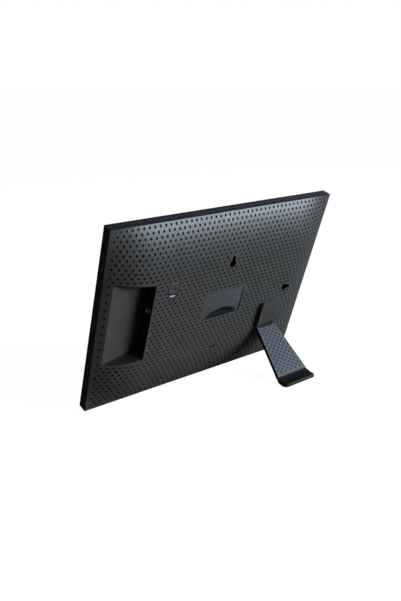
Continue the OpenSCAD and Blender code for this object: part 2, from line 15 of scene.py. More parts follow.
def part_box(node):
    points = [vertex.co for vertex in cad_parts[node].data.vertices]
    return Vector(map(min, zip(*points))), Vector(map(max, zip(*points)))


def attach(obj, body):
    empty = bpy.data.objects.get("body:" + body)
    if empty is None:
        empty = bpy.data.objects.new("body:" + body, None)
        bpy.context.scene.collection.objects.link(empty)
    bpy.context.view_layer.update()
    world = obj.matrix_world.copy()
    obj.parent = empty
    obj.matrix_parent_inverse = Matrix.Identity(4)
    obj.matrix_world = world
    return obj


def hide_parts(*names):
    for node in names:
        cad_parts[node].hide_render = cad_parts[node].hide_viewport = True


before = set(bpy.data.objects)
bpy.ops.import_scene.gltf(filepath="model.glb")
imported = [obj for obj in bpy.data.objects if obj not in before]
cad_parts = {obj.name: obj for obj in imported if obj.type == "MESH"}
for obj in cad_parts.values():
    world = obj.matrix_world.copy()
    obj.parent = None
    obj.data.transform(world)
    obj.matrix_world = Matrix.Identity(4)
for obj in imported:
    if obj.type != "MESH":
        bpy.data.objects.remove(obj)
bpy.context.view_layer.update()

# ---- Sizes ------------------------------------------------------------------------------
LEAN = math.radians(19)
RIM = 9.5  # depth of the flat rim
RISE = 14.6  # height of the dome behind the rim
BLEND = 45  # width of the dome's curved border
WALL = 2
FLAT_Y = RIM + RISE  # back of the dome's flat middle
INNER_Y = FLAT_Y - WALL
CLEAR = 4  # how far a cut runs past the skin
COVER_HALF = (130.4, 94.4)
MID_Z = 95
VIEW_HALF = (108.5, 67.8)  # half of the picture area behind the glass

# The dots: an open one is a straight hole of radius hole_r, a dimple slopes from dimple_r in to
# floor_r. Two radii are those of an oval, across and up.
COVER_DOTS = dict(pitch=(5.5, 4.11), hole_r=1.1, dimple_r=1.25, floor_r=0.75, depth=0.75)
LEG_DOTS = dict(
    pitch=(6.85, 2.56), hole_r=None, dimple_r=np.array([0.8, 1.2]), floor_r=np.array([0.55, 0.95]), depth=0.5
)
DOT_FIRST_Z = 2.2
KEEP_OFF = COVER_DOTS["dimple_r"] + 0.3  # from a dot's centre to the edge of any feature
VENT_TOP = (92, 156, 15)  # x, z and radius of the two upper vents, one on each side
VENT_CORNER = (116, 38, 12)
VENT_BAND = ((12, 79), (-47, 62), 6)  # its two ends and its half width

PORT_X = (85.5, 123)
PORT_Z = (57.5, 137)
PORT_FLARE = 3
PORT_FLOOR_Y = 9.4
PORT_LEVEL = 4  # width of the floor's level strip by the side wall
PORT_FILLET = 1.6
PORT_WALL_FILLET = 0.6
GROOVE_DEPTH, GROOVE_AT, GROOVE_HALF = 2.4, 1.7, 0.75
GROOVE_ENDS = (4, 2)  # how far it stays from the lower and the upper edge
GROOVE_FADE = 1.5
JACK_Z, JACK_Y = 107.5, 18.8
USB_Z, USB_Y = 90, 18.6
RESET_Z, RESET_Y = 68, 17.2

LABEL_X = (-24, 24)
LABEL_Z = (83.9, 111.9)
LABEL_SINK = 0.3  # depth of the recess at its upper left
LABEL_SLOPE = (0.55, 0.2)  # how much deeper it is at the far side and at the lower edge
LABEL_GAP = 0.3
FILM_Y = (0.02, 0.14)  # the film's two sides, above the recess's floor
LABEL_BOSS_Z = (82, 114)
SCOOP_X, SCOOP_HALF, SCOOP_RISE, SCOOP_DEPTH = -1, 21, 9, 4.4

BUTTON = (66, 129.5)
BUTTON_HALF = 5.7
BUTTON_R = 3.1
BUTTON_GAP = 0.55
LED = (66, 122)
LED_HALF = (2.9, 0.55)
SLOT = (0, 46.7)
SLOT_HALF = (3.4, 1.2)
KEY_UP = (0, 142.2)
KEY_SIDE = (-84, 97.6)
KEY_R, KEY_SLOT_R, KEY_RUN = 3.9, 2, 8.4

STAND_X = -67
PLATE_HALF = 12.65
PLATE_Z = (57, 86)
HINGE_Y, HINGE_Z = 26.4, 56.4
SWING = math.radians(62.9)
LEG_T = 3.8
LEG_TOP = LEG_T / 2
LEG_START = 2.4
LEG_LEN = 58.162
LEG_HALF = (12.5, 20.5)  # half widths at the hinge and at the foot
KNUCKLE_HALF, KNUCKLE_R = 8.15, 1.9
FACE_T = 0.55  # thickness of the dotted face on the leg
FACE_INSET = 0.35
FACE_FROM, FACE_TO = LEG_START + 0.35, LEG_LEN - 0.1
FIRST_ROW, LAST_ROW = 2.8, 55
FOOT_R = 15
FOOT_TURN = math.radians(66.1)
FOOT_CORNER = 5.5
FOOT_SWELL, SWELL_OVER = 1.3, 5
FOOT_TIP = 1.4  # length over which the tip thins

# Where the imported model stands: how far back and how high the origin of these axes is.
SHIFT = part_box("front_bezel")[0].y * 1000
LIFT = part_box("middle_frame")[0].z * 1000 + RIM * math.sin(LEAN)


# ---- Placing ----------------------------------------------------------------------------
def lean_back(p):
    """Frame axes in mm to floor axes in m: a turn of LEAN about x, then the frame's own place."""
    p = np.asarray(p, float)
    c, s = math.cos(LEAN), math.sin(LEAN)
    x, y, z = p[..., 0], p[..., 1], p[..., 2]
    return np.stack([x, y * c + z * s + SHIFT, z * c - y * s + LIFT], -1) / 1000


def upright(p):
    """The reverse of lean_back."""
    c, s = math.cos(LEAN), math.sin(LEAN)
    x, y, z = p[..., 0] * 1000, p[..., 1] * 1000 - SHIFT, p[..., 2] * 1000 - LIFT
    return np.stack([x, y * c - z * s, y * s + z * c], -1)


def leg_place(p):
    """Leg axes in mm to floor axes in m. In leg axes z runs up the leg to the hinge and y away from
    the cover, and the whole is turned by SWING about the hinge."""
    p = np.asarray(p, float)
    c, s = math.cos(SWING), math.sin(SWING)
    x, y, z = p[..., 0], p[..., 1], p[..., 2]
    return lean_back(np.stack([x + STAND_X, y * c - z * s + HINGE_Y, y * s + z * c + HINGE_Z], -1))


def grid(u, v):
    return np.meshgrid(u, v, indexing="ij")


def spread(start, stop, *marks):
    """Twelve even stations from start to stop, and the marks."""
    return np.unique(np.concatenate([np.linspace(start, stop, 12), *marks]))


# ---- Making and finishing a mesh --------------------------------------------------------
def mesh_object(name, points, faces, place=lean_back):
    mesh = bpy.data.meshes.new(name)
    mesh.from_pydata(place(points).tolist(), [], faces)
    piece = bpy.data.objects.new(name, mesh)
    bpy.context.scene.collection.objects.link(piece)
    return piece


def tidy_mesh(piece, outward=True, merge=1e-6):
    """Merges doubles, drops what has no area and, on a closed shape, turns every face outwards."""
    bm = bmesh.new()
    bm.from_mesh(piece.data)
    bmesh.ops.remove_doubles(bm, verts=bm.verts, dist=merge)
    bmesh.ops.dissolve_degenerate(bm, dist=merge, edges=bm.edges)
    if outward:
        bmesh.ops.recalc_face_normals(bm, faces=bm.faces)
    bm.to_mesh(piece.data)
    bm.free()
    return piece


def split_faces(piece):
    """Splits the faces with more than four sides, so that a solid cut leaves no seam in them."""
    bm = bmesh.new()
    bm.from_mesh(piece.data)
    bmesh.ops.triangulate(bm, faces=[f for f in bm.faces if len(f.verts) > 4])
    bm.to_mesh(piece.data)
    bm.free()


def close_seams(piece, merge=1e-6):
    """Merges the doubles that a modifier leaves, and closes the slivers that this opens."""
    bm = bmesh.new()
    bm.from_mesh(piece.data)
    bmesh.ops.remove_doubles(bm, verts=bm.verts, dist=merge)
    bmesh.ops.dissolve_degenerate(bm, dist=merge, edges=bm.edges)
    bmesh.ops.holes_fill(bm, edges=[e for e in bm.edges if e.is_boundary], sides=0)
    bmesh.ops.delete(bm, geom=[v for v in bm.verts if not v.link_faces], context="VERTS")
    bmesh.ops.recalc_face_normals(bm, faces=bm.faces)
    bm.to_mesh(piece.data)
    bm.free()


def smooth(piece, angle=32):
    piece.data.polygons.foreach_set("use_smooth", np.ones(len(piece.data.polygons), bool))
    piece.data.set_sharp_from_angle(angle=math.radians(angle))
    return piece


def settle(piece):
    """Applies the live modifiers."""
    bpy.context.view_layer.update()
    evaluated = piece.evaluated_get(bpy.context.evaluated_depsgraph_get())
    made = bpy.data.meshes.new_from_object(evaluated)
    piece.modifiers.clear()
    piece.data = made
    return piece


def combine(piece, other, operation):
    """Solid union or difference of two closed pieces. The second one is used up."""
    change = piece.modifiers.new(operation.lower(), "BOOLEAN")
    change.operation = operation
    change.solver = "MANIFOLD"
    change.object = other
    settle(piece)
    bpy.data.objects.remove(other)
    return piece


def round_edges(piece, width, segments=3, angle=30):
    bevel = piece.modifiers.new("edges", "BEVEL")
    bevel.width = width / 1000
    bevel.segments = segments
    bevel.limit_method = "ANGLE"
    bevel.angle_limit = math.radians(angle)
    bevel.harden_normals = False
    return settle(piece)


def softened(name, node, width):
    """A copy of a CAD node, merged into flat faces, with its edges rounded to width."""
    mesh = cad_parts[node].data.copy()
    piece = bpy.data.objects.new(name, mesh)
    bpy.context.scene.collection.objects.link(piece)
    bm = bmesh.new()
    bm.from_mesh(mesh)
    bmesh.ops.remove_doubles(bm, verts=bm.verts, dist=1e-6)
    for edge in bm.edges:
        edge.smooth = True
    bmesh.ops.dissolve_limit(bm, angle_limit=math.radians(1), verts=bm.verts, edges=bm.edges)
    bm.to_mesh(mesh)
    bm.free()
    if "custom_normal" in mesh.attributes:
        mesh.attributes.remove(mesh.attributes["custom_normal"])
    round_edges(piece, width)
    close_seams(piece)
    return smooth(piece, 40)


# ---- Closed solids ----------------------------------------------------------------------
def between(name, x, z, low, high):
    """The solid between two height fields y = low and y = high over one grid of (x, z)."""
    nu, nv = x.shape
    low, high = np.broadcast_to(low, x.shape), np.broadcast_to(high, x.shape)
    points = np.concatenate([np.stack([x, h, z], -1).reshape(-1, 3) for h in (low, high)])
    at = np.arange(nu * nv).reshape(nu, nv)
    top = np.stack([at[:-1, :-1], at[:-1, 1:], at[1:, 1:], at[1:, :-1]], -1).reshape(-1, 4)
    rim = np.concatenate([at[:-1, 0], at[-1, :-1], at[:0:-1, -1], at[0, :0:-1]])
    after = np.roll(rim, -1)
    side = np.stack([rim, after, after + nu * nv, rim + nu * nv], -1)
    faces = np.concatenate([top[:, ::-1], top + nu * nv, side])
    return tidy_mesh(mesh_object(name, points, faces.tolist()))


def prism(name, outline, low, high):
    """The solid over a closed outline of (x, z), from y = low to y = high."""
    n = len(outline)
    ends = [np.insert(outline, 1, h, axis=1) for h in (low, high)]
    k = np.arange(n)
    side = np.stack([k, (k + 1) % n, (k + 1) % n + n, k + n], -1).tolist()
    faces = [k[::-1].tolist(), (k + n).tolist()] + side
    return tidy_mesh(mesh_object(name, np.concatenate(ends), faces))


def ring_bands(count, around):
    """Quads that join each of count rings of points to the next."""
    at = np.arange(count * around).reshape(count, around)
    after = np.roll(at, -1, 1)
    return np.stack([at[:-1], after[:-1], after[1:], at[1:]], -1).reshape(-1, 4).tolist()


def turned(name, profile, centre, place=lean_back, steps=40):
    """A profile of (distance along x, radius) turned about the line along x through centre. It
    starts and ends on that line, or is a closed ring if its ends meet."""
    profile = np.asarray(profile, float)
    a = np.linspace(0, 2 * math.pi, steps, endpoint=False)
    along = np.broadcast_to(profile[:, :1], (len(profile), steps))
    rings = np.stack([along, profile[:, 1:] * np.cos(a), profile[:, 1:] * np.sin(a)], -1)
    points = rings.reshape(-1, 3) + centre
    piece = mesh_object(name, points, ring_bands(len(profile), steps), place)
    return smooth(tidy_mesh(piece), 50)


def loft(name, rings, place=lean_back, angle=32):
    """Closed skin through a stack of rings, (stations, points, 3), with flat ends."""
    n, m = rings.shape[:2]
    ends = [list(range(m))[::-1], list(range((n - 1) * m, n * m))]
    piece = mesh_object(name, rings.reshape(-1, 3), ring_bands(n, m) + ends, place)
    return smooth(tidy_mesh(piece), angle)


# ---- Outlines of (x, z) -----------------------------------------------------------------
def rounded(cx, cz, half_x, half_z, r, steps=6):
    """A rectangle whose corners are quarter circles of radius r, clockwise from its upper right."""
    quarter = np.arange(4)[:, None] * 90
    a = np.radians(np.linspace(0, 90, steps + 1) + quarter)
    corner = np.radians(45 + quarter)
    x = cx + np.sign(np.sin(corner)) * (half_x - r) + r * np.sin(a)
    z = cz + np.sign(np.cos(corner)) * (half_z - r) + r * np.cos(a)
    return np.stack([x, z], -1).reshape(-1, 2)


def keyhole(cx, cz, turn):
    """A circle of radius KEY_R joined to a slot that ends KEY_RUN above its centre, turned about
    that centre."""
    join = math.asin(KEY_SLOT_R / KEY_R)
    a = np.linspace(join, 2 * math.pi - join, 25)
    b = np.linspace(-math.pi / 2, math.pi / 2, 11)
    circle = np.stack([np.sin(a), np.cos(a)], -1) * KEY_R
    end = np.stack([np.sin(b), np.cos(b)], -1) * KEY_SLOT_R + (0, KEY_RUN - KEY_SLOT_R)
    c, s = math.cos(turn), math.sin(turn)
    return np.concatenate([circle, end]) @ np.array([[c, s], [-s, c]]) + (cx, cz)


def open_ring(cx, cz, r, half_width, opening):
    """A ring of mean radius r that is open for the angle opening either side of straight up."""
    a = np.linspace(opening, 2 * math.pi - opening, 29)
    ray = np.stack([np.sin(a), np.cos(a)], -1)
    return np.concatenate([ray * (r + half_width), ray[::-1] * (r - half_width)]) + (cx, cz)


def segment_distance(p, a, b):
    a, b = np.array(a, float), np.array(b, float)
    t = np.clip(((p - a) @ (b - a)) / ((b - a) @ (b - a)), 0, 1)
    return np.linalg.norm(p - a - t[..., None] * (b - a), axis=-1)


def box_distance(p, cx, cz, half_x, half_z):
    """Distance outside a rectangle, and 0 inside it."""
    q = np.abs(p - (cx, cz)) - (half_x, half_z)
    return np.linalg.norm(np.maximum(q, 0), axis=-1)


# ---- A dotted skin ----------------------------------------------------------------------
# A brick's twelve outline points, in halves of the pitch, and the twelve points of a dot's edge.
BRICK = np.array(
    [(0, 1), (0.5, 1), (1, 1), (1, 0), (1, -1), (0.5, -1),
     (0, -1), (-0.5, -1), (-1, -1), (-1, 0), (-1, 1), (-0.5, 1)], float
)
TWELFTHS = np.radians(np.arange(12) * 30)
CIRCLE = np.stack([np.sin(TWELFTHS), np.cos(TWELFTHS)], -1)
PLAIN, DIMPLE, HOLE = 0, 1, 2


def brick_centres(pitch, first_z, rows, half_columns, offset):
    """Centres of a running bond: row i is at first_z + i pitch, and every other row is half a pitch
    over, starting with the row whose number is offset."""
    i, k = grid(np.arange(rows), np.arange(-half_columns, half_columns + 1))
    x = (k + ((i + offset) % 2) / 2) * pitch[0]
    return np.stack([x, first_z + i * pitch[1]], -1).reshape(-1, 2)


def dotted_piece(name, centres, kind, clamp, skin, back, pitch, hole_r, dimple_r, floor_r, depth,
                 place=lean_back):
    """The skin y = skin(x, z), made of one brick per centre. A brick is plain, or has a dimple with
    a sloping wall and a floor, or a hole through to y = back(x, z). clamp moves the bricks' corners
    to the outline. back may be None, for a skin with no inner side. The insides of the dots take
    the second material, a darker finish that paints the shade in them."""
    points, faces, deep = [], [], []
    count = 0

    def add(plan, y):
        nonlocal count
        points.append(np.concatenate([plan[..., :1], y[..., None], plan[..., 1:]], -1).reshape(-1, 3))
        at = count + np.arange(y.size).reshape(y.shape)
        count += y.size
        return at

    def face(indices, inside_dot=False):
        faces.extend(indices.tolist())
        deep.extend([inside_dot] * len(indices))

    def band(a, b, inside_dot=False):
        quads = np.stack([a, np.roll(a, -1, 1), np.roll(b, -1, 1), b], -1)
        face(quads.reshape(-1, 4), inside_dot)

    brick = clamp(centres[:, None] + BRICK * np.array(pitch) / 2)
    outer = add(brick, skin(brick))
    inner = None if back is None else add(brick, back(brick))
    face(outer[kind == PLAIN])
    if back is not None:
        face(inner[kind != HOLE][:, ::-1])

    dimple = kind == DIMPLE
    edge = centres[dimple][:, None] + CIRCLE * dimple_r
    low = centres[dimple][:, None] + CIRCLE * floor_r
    rim = add(edge, skin(edge))
    band(outer[dimple], rim)
    floor = add(low, skin(low) - depth)
    band(rim, floor, inside_dot=True)
    face(floor, inside_dot=True)

    hole = kind == HOLE
    if hole.any():
        edge = centres[hole][:, None] + CIRCLE * hole_r
        rim = add(edge, skin(edge))
        band(outer[hole], rim)
        through = add(edge, back(edge))
        band(rim, through, inside_dot=True)
        band(through, inner[hole])

    piece = mesh_object(name, np.concatenate(points), faces, place)
    piece.data.materials.append(None)
    piece.data.materials.append(None)
    piece.data.polygons.foreach_set("material_index", np.array(deep, np.int32))
    return tidy_mesh(piece, outward=False)


# ---- The back cover ---------------------------------------------------------------------
def cover_depth(p):
    """Back of the cover: RIM + RISE g(dx) g(dz), where g(d) = 1 - (1 - min(d, BLEND) / BLEND)^2
    and dx, dz are the distances from the side and from the upper or lower edge."""
    d = np.array(COVER_HALF) - np.abs(p - (0, MID_Z))
    g = 1 - (1 - np.clip(d, 0, BLEND) / BLEND) ** 2
    return RIM + RISE * g[..., 0] * g[..., 1]


def cover_inside(p):
    return np.maximum(cover_depth(p) - WALL, RIM)


def cover_clamp(p, snap=1.2):
    """Corners within snap of the outline, or past it, go to the outline."""
    half = np.array(COVER_HALF)
    q = p - (0, MID_Z)
    return np.where(np.abs(q) > half - snap, np.sign(q) * half, q) + (0, MID_Z)


def port_edges(x):
    """Lower and upper edge of the port recess at x: both flare outwards by PORT_FLARE."""
    t = (x - PORT_X[0]) / (PORT_X[1] - PORT_X[0])
    return PORT_Z[0] - PORT_FLARE * t, PORT_Z[1] + PORT_FLARE * t


def cover_kinds(p):
    """Which bricks are plain, which have a dimple and which a hole."""
    x, z = p[:, 0], p[:, 1]
    low, high = port_edges(np.clip(x, *PORT_X))
    in_port = (x > PORT_X[0] - KEEP_OFF) & (x < PORT_X[1] + KEEP_OFF)
    in_port &= (z > low - KEEP_OFF) & (z < high + KEEP_OFF)
    key_run, key_half = KEY_RUN - KEY_SLOT_R, 2.6
    near = [
        box_distance(p, 0, sum(LABEL_Z) / 2, LABEL_X[1], (LABEL_Z[1] - LABEL_Z[0]) / 2),
        box_distance(p, *BUTTON, BUTTON_HALF, BUTTON_HALF),
        box_distance(p, *LED, *LED_HALF),
        box_distance(p, *SLOT, *SLOT_HALF),
        box_distance(p, STAND_X, sum(PLATE_Z) / 2, PLATE_HALF - 1, (PLATE_Z[1] - PLATE_Z[0]) / 2 - 1),
        segment_distance(p, KEY_UP, (KEY_UP[0], KEY_UP[1] + key_run)) - key_half,
        segment_distance(p, KEY_SIDE, (KEY_SIDE[0] - key_run, KEY_SIDE[1])) - key_half,
    ]
    to_edge = np.min(np.array(COVER_HALF) - np.abs(p - (0, MID_Z)), axis=1)
    by_edge = to_edge < COVER_DOTS["dimple_r"] + 0.25
    blank = in_port | by_edge | (np.min(near, axis=0) < KEEP_OFF)
    open_vent = np.hypot(np.abs(x) - VENT_TOP[0], z - VENT_TOP[1]) < VENT_TOP[2]
    open_vent |= np.hypot(x - VENT_CORNER[0], z - VENT_CORNER[1]) < VENT_CORNER[2]
    open_vent |= segment_distance(p, *VENT_BAND[:2]) < VENT_BAND[2]
    return np.where(blank, PLAIN, np.where(open_vent, HOLE, DIMPLE))


def port_floor(x, z):
    """Floor of the port recess. With d the distance from the side wall, it is level for PORT_LEVEL,
    then a straight ramp out to the cover's own depth at the far side. A groove along the wall,
    GROOVE_DEPTH exp(-((d - GROOVE_AT) / GROOVE_HALF)^4) deep, fades out before both ends. Against
    the lower and the upper edge it rises by r (1 - sqrt(1 - s^2)), with s = 1 - gap / r."""
    ramp_start = PORT_X[0] + PORT_LEVEL
    far_y = cover_depth(np.array([PORT_X[1], MID_Z]))
    base = PORT_FLOOR_Y + (far_y - PORT_FLOOR_Y) * np.clip((x - ramp_start) / (PORT_X[1] - ramp_start), 0, 1)
    d = x - PORT_X[0]
    low, high = port_edges(x)
    groove = GROOVE_DEPTH * np.exp(-(((d - GROOVE_AT) / GROOVE_HALF) ** 4))
    groove = groove * np.clip((z - low - GROOVE_ENDS[0]) / GROOVE_FADE, 0, 1)
    groove = groove * np.clip((high - z - GROOVE_ENDS[1]) / GROOVE_FADE, 0, 1)
    wall_curve = PORT_WALL_FILLET * np.clip(1 - d / PORT_WALL_FILLET, 0, 1) ** 2
    room = np.maximum(cover_depth(np.stack([x, np.full_like(x, MID_Z)], -1)) - base, 0)
    r = np.minimum(PORT_FILLET, room)
    curve = 0
    for gap in (z - low, high - z):
        s = np.clip(1 - gap / np.maximum(r, 1e-3), 0, 1)
        curve = curve + r * (1 - np.sqrt(np.clip(1 - s * s, 0, 1)))
    return base - groove + wall_curve + curve


def label_share(x, z):
    """How far a place is across the label recess, from its left, and up it, each 0 to 1."""
    return (LABEL_X[1] - x) / (LABEL_X[1] - LABEL_X[0]), (z - LABEL_Z[0]) / (LABEL_Z[1] - LABEL_Z[0])


def scoop_of(x, z):
    """How deep the thumb scoop is, 0 to 1: (1 - u^2 - v^2)^1.3 over half an ellipse that stands on
    the label's lower edge, with u and v the shares of its half width and its height."""
    u, v = (x - SCOOP_X) / SCOOP_HALF, (z - LABEL_Z[0]) / SCOOP_RISE
    return np.clip(1 - u**2 - v**2, 0, 1) ** 1.3


def label_floor(x, z):
    """Floor of the label recess: a plane that is nearly flush at its upper left and deeper to the
    right and below, less SCOOP_DEPTH times scoop_of."""
    across, up = label_share(x, z)
    sink = LABEL_SINK + LABEL_SLOPE[0] * across + LABEL_SLOPE[1] * (1 - up)
    return FLAT_Y - sink - SCOOP_DEPTH * scoop_of(x, z)


def port_grid(x_stations, shares, margin=0):
    """Grid of (x, z) over the port recess and a margin. shares run 0 to 1 from its lower edge to
    its upper one."""
    x, t = grid(x_stations, shares)
    low, high = port_edges(x)
    return x, low - margin + t * (high - low + 2 * margin)


def label_grid(inset=0):
    x = np.linspace(LABEL_X[0] + inset, LABEL_X[1] - inset, 41)
    scoop_z = LABEL_Z[0] + np.linspace(inset, SCOOP_RISE, 25)
    return grid(x, spread(LABEL_Z[0] + inset, LABEL_Z[1] - inset, scoop_z))


def add_bosses(cover):
    """Thickens the shell from within, where the recesses go deeper than its wall."""
    wide = np.linspace(PORT_X[0] - WALL, PORT_X[1] + WALL, 12)
    port = port_grid(wide, np.linspace(0, 1, 16), WALL)
    label = grid(np.linspace(LABEL_X[0] - WALL, LABEL_X[1] + WALL, 5), np.linspace(*LABEL_BOSS_Z, 5))
    below_skin, label_deep = 0.6, 6.8
    for name, (x, z), low in (("port", port, PORT_FLOOR_Y - WALL), ("label", label, FLAT_Y - label_deep)):
        high = cover_depth(np.stack([x, z], -1)) - below_skin
        combine(cover, between(f"{name}_boss", x, z, low, high), "UNION")


def cut_recesses(cover):
    x_stations = spread(*PORT_X, PORT_X[0] + np.linspace(0, 5, 26))
    shares = [np.linspace(0, 0.12, 19), np.linspace(0.12, 0.96, 12), np.linspace(0.96, 1, 7)]
    x, z = port_grid(x_stations, np.unique(np.concatenate(shares)))
    combine(cover, between("port_cut", x, z, port_floor(x, z), FLAT_Y + CLEAR), "DIFFERENCE")
    x, z = label_grid()
    combine(cover, between("label_cut", x, z, label_floor(x, z), FLAT_Y + CLEAR), "DIFFERENCE")


def cut_openings(cover):
    """The keyholes, the button's and the light's holes and the slot go straight through the back.
    The two sockets' holes and the reset hole go through the port recess's side wall."""
    button_half = BUTTON_HALF + BUTTON_GAP
    jack_r, reset_r, usb_half = 3, 0.8, (2.2, 6)
    bar_from, bar_to = -6, 2
    outlines = [
        keyhole(*KEY_UP, 0),
        keyhole(*KEY_SIDE, math.pi / 2),
        rounded(*BUTTON, button_half, button_half, 3.5, 8),
        rounded(*LED, *LED_HALF, 0.3, 2),
        rounded(*SLOT, *SLOT_HALF, 0.7, 4),
    ]
    for n, outline in enumerate(outlines):
        combine(cover, prism(f"cut_{n}", outline, INNER_Y - CLEAR, FLAT_Y + CLEAR), "DIFFERENCE")
    for n, (y, z, r) in enumerate([(JACK_Y, JACK_Z, jack_r), (RESET_Y, RESET_Z, reset_r)]):
        profile = [(bar_from, 0), (bar_from, r), (bar_to, r), (bar_to, 0)]
        combine(cover, turned(f"bar_{n}", profile, (PORT_X[0], y, z), steps=32), "DIFFERENCE")
    corners = np.array([(-1, -1), (1, -1), (1, 1), (-1, 1)]) * usb_half + (USB_Y, USB_Z)
    ends = [np.insert(corners, 0, PORT_X[0] + x, axis=1) for x in (bar_from, bar_to)]
    combine(cover, loft("usb_cut", np.stack(ends)), "DIFFERENCE")


def paint_wall_shade(cover, steep=0.65, nearly_flat=0.985, strip=2):
    """The steep faces below the cover's outer skin, which are the walls of the cuts, take the
    second material, the darker one that paints shade, as the insides of the dots do. A face is
    steep where its normal's share along the frame's y is under steep, or under nearly_flat in a
    strip by the port recess's lower and upper edge, where the floor curves up to the wall and the
    painted shade covers that curve too."""
    n = len(cover.data.polygons)
    centre, normal, index = np.empty(3 * n), np.empty(3 * n), np.empty(n, np.int32)
    cover.data.polygons.foreach_get("center", centre)
    cover.data.polygons.foreach_get("normal", normal)
    cover.data.polygons.foreach_get("material_index", index)
    centre = upright(centre.reshape(-1, 3))
    plan, x, z = centre[:, [0, 2]], centre[:, 0], centre[:, 2]
    out = np.abs(normal.reshape(-1, 3) @ (0, math.cos(LEAN), -math.sin(LEAN)))
    below = cover_depth(plan) - centre[:, 1] > 0.05
    inside = np.all(np.abs(plan - (0, MID_Z)) < np.array(COVER_HALF) - 1, axis=1)
    low, high = port_edges(np.clip(x, *PORT_X))
    by_edge = (x > PORT_X[0]) & ((z < low + strip) | (z > high - strip))
    # Painted shade: the walls of the cuts, and the floor's curve by the port recess's edges, take the dark
    # material.
    index[below & (out < np.where(by_edge, nearly_flat, steep)) & inside] = 1
    cover.data.polygons.foreach_set("material_index", index)


def make_cover():
    centres = brick_centres(COVER_DOTS["pitch"], DOT_FIRST_Z, rows=46, half_columns=24, offset=1)
    centres = centres[np.abs(centres[:, 0]) < COVER_HALF[0] + 1]
    cover = dotted_piece("cover_shell", centres, cover_kinds(centres), cover_clamp, cover_depth,
                         cover_inside, **COVER_DOTS)
    split_faces(cover)
    add_bosses(cover)
    cut_recesses(cover)
    cut_openings(cover)
    close_seams(cover)
    paint_wall_shade(cover)
    return smooth(cover, 28)


# ---- Finishes ---------------------------------------------------------------------------
MIX_FACTOR, MIX_A, MIX_B, MIX_COLOUR = 0, 6, 7, 2  # sockets of a Mix node that mixes colours
COVER_COLOUR = (0.035, 0.0315, 0.0285)


def finish(name, colour, rough, grain=900, bump=0.1, varied=0.25, metal=0.0, specular=0.5,
           stretch=(1, 1, 1), rough_varied=0.08, **sockets):
    """A moulded, rolled or drawn surface: two sizes of noise vary its colour by the share varied,
    its roughness by rough_varied, and raise a fine grain of grain features per metre."""
    m = bpy.data.materials.new(name)
    m.use_nodes = True
    nodes, links = m.node_tree.nodes, m.node_tree.links
    shader = nodes["Principled BSDF"]
    place = nodes.new("ShaderNodeTexCoord")
    mapping = nodes.new("ShaderNodeMapping")
    mapping.inputs["Scale"].default_value = stretch
    links.new(place.outputs["Object"], mapping.inputs["Vector"])

    def noise(scale, detail):
        n = nodes.new("ShaderNodeTexNoise")
        n.inputs["Scale"].default_value = scale
        n.inputs["Detail"].default_value = detail
        links.new(mapping.outputs["Vector"], n.inputs["Vector"])
        return n.outputs["Fac"]

    broad, fine = noise(grain / 30, 3), noise(grain, 2)
    mix = nodes.new("ShaderNodeMix")
    mix.data_type = "RGBA"
    links.new(broad, mix.inputs[MIX_FACTOR])
    mix.inputs[MIX_A].default_value = (*[c * (1 - varied) for c in colour], 1)
    mix.inputs[MIX_B].default_value = (*[min(1, c * (1 + varied)) for c in colour], 1)
    links.new(mix.outputs[MIX_COLOUR], shader.inputs["Base Color"])
    to_rough = nodes.new("ShaderNodeMapRange")
    to_rough.inputs["To Min"].default_value = max(0.02, rough - rough_varied)
    to_rough.inputs["To Max"].default_value = min(1, rough + rough_varied)
    links.new(fine, to_rough.inputs["Value"])
    links.new(to_rough.outputs["Result"], shader.inputs["Roughness"])
    raised = nodes.new("ShaderNodeBump")
    raised.inputs["Strength"].default_value = bump
    raised.inputs["Distance"].default_value = 0.0002
    links.new(fine, raised.inputs["Height"])
    links.new(raised.outputs["Normal"], shader.inputs["Normal"])
    shader.inputs["Metallic"].default_value = metal
    shader.inputs["Specular IOR Level"].default_value = specular
    for socket, value in sockets.items():
        shader.inputs[socket.replace("_", " ")].default_value = value
    return m


